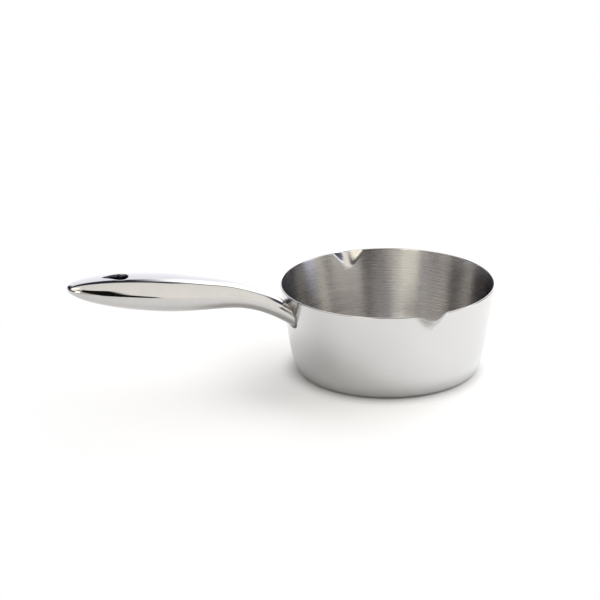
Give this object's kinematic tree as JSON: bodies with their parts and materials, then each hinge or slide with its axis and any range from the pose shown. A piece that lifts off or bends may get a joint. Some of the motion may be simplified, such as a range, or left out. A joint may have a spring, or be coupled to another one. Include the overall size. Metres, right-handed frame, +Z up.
{
  "type": "butter melting pan",
  "caption": "Small stainless steel melting pan with a tapered drawn cup, a pouring lip on each side and a hollow welded handle that has a teardrop hanging hole.",
  "frame": {"origin": "centre of the cup's flat base, on the surface that the pan stands on", "axes": "+Z up along the cup's axis, the handle along -X, the pouring lips along -Y and +Y"},
  "size_m": [0.2414, 0.1296, 0.0737],
  "materials": {
    "satin_steel": "satin outside, brushed in rings inside",
    "polished_steel": "mirror polished",
    "inner_steel": "plain sheet, as rolled"
  },
  "bodies": {
    "root": {"cup": "satin_steel", "handle_upper_shell": "polished_steel", "handle_lower_shell": "polished_steel", "handle_seam_weld": "polished_steel", "hang_hole_sleeve": "polished_steel", "neck_end_plate": "inner_steel", "neck_weld_fillet": "polished_steel"}
  },
  "joints": []
}
